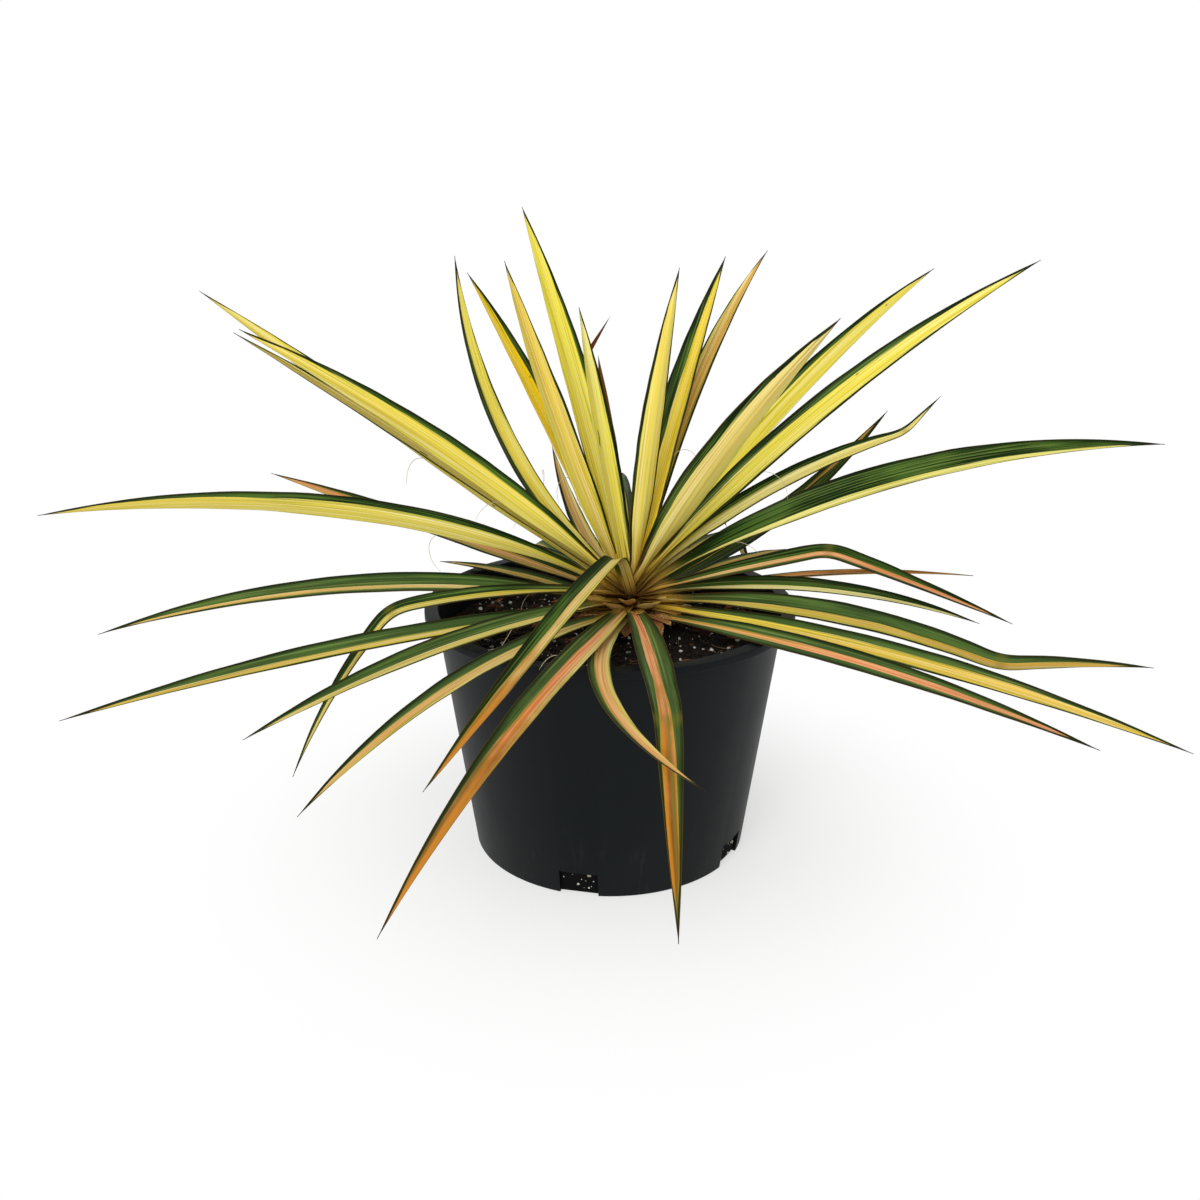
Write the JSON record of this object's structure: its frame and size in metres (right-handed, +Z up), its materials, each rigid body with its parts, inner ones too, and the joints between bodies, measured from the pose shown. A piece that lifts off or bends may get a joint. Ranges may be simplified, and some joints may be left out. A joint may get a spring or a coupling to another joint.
{
  "type": "potted yucca",
  "caption": "Variegated yucca with long channelled leaves arching from a short crown, growing in potting soil in a squat tapered nursery pot with drain slots.",
  "frame": {"origin": "centre of the pot's flat underside", "axes": "+Z up along the pot's axis, -Y towards the plant's front, +X along its widest spread, to the right as seen from the front"},
  "size_m": [0.5621, 0.4723, 0.321],
  "materials": {
    "black_plastic": "moulded black polypropylene, matte with a soft sheen",
    "potting_soil": "dark peat and bark mix with white perlite grains",
    "leaf_base_fibre": "tan dry leaf bases, matte",
    "variegated_leaf": "stiff waxy leaf, yellow to cream in the middle with green margins, satin"
  },
  "bodies": {
    "root": {"pot": "black_plastic", "potting_soil": "potting_soil", "crown": "leaf_base_fibre", "leaf_01": "variegated_leaf", "leaf_02": "variegated_leaf", "leaf_03": "variegated_leaf", "leaf_04": "variegated_leaf", "leaf_05": "variegated_leaf", "leaf_06": "variegated_leaf", "leaf_07": "variegated_leaf", "leaf_08": "variegated_leaf", "leaf_09": "variegated_leaf", "leaf_10": "variegated_leaf", "leaf_11": "variegated_leaf", "leaf_12": "variegated_leaf", "leaf_13": "variegated_leaf", "leaf_14": "variegated_leaf", "leaf_15": "variegated_leaf", "leaf_16": "variegated_leaf", "leaf_17": "variegated_leaf", "leaf_18": "variegated_leaf", "leaf_19": "variegated_leaf", "leaf_20": "variegated_leaf", "leaf_21": "variegated_leaf", "leaf_22": "variegated_leaf", "leaf_23": "variegated_leaf", "leaf_24": "variegated_leaf", "leaf_25": "variegated_leaf", "leaf_26": "variegated_leaf", "leaf_27": "variegated_leaf", "leaf_28": "variegated_leaf", "leaf_29": "variegated_leaf", "leaf_30": "variegated_leaf", "leaf_31": "variegated_leaf", "leaf_32": "variegated_leaf", "leaf_33": "variegated_leaf", "leaf_34": "variegated_leaf", "leaf_35": "variegated_leaf", "leaf_36": "variegated_leaf", "leaf_37": "variegated_leaf", "leaf_38": "variegated_leaf", "leaf_39": "variegated_leaf", "leaf_40": "variegated_leaf", "leaf_41": "variegated_leaf", "leaf_42": "variegated_leaf", "leaf_43": "variegated_leaf", "leaf_44": "variegated_leaf", "leaf_45": "variegated_leaf", "leaf_46": "variegated_leaf"}
  },
  "joints": []
}
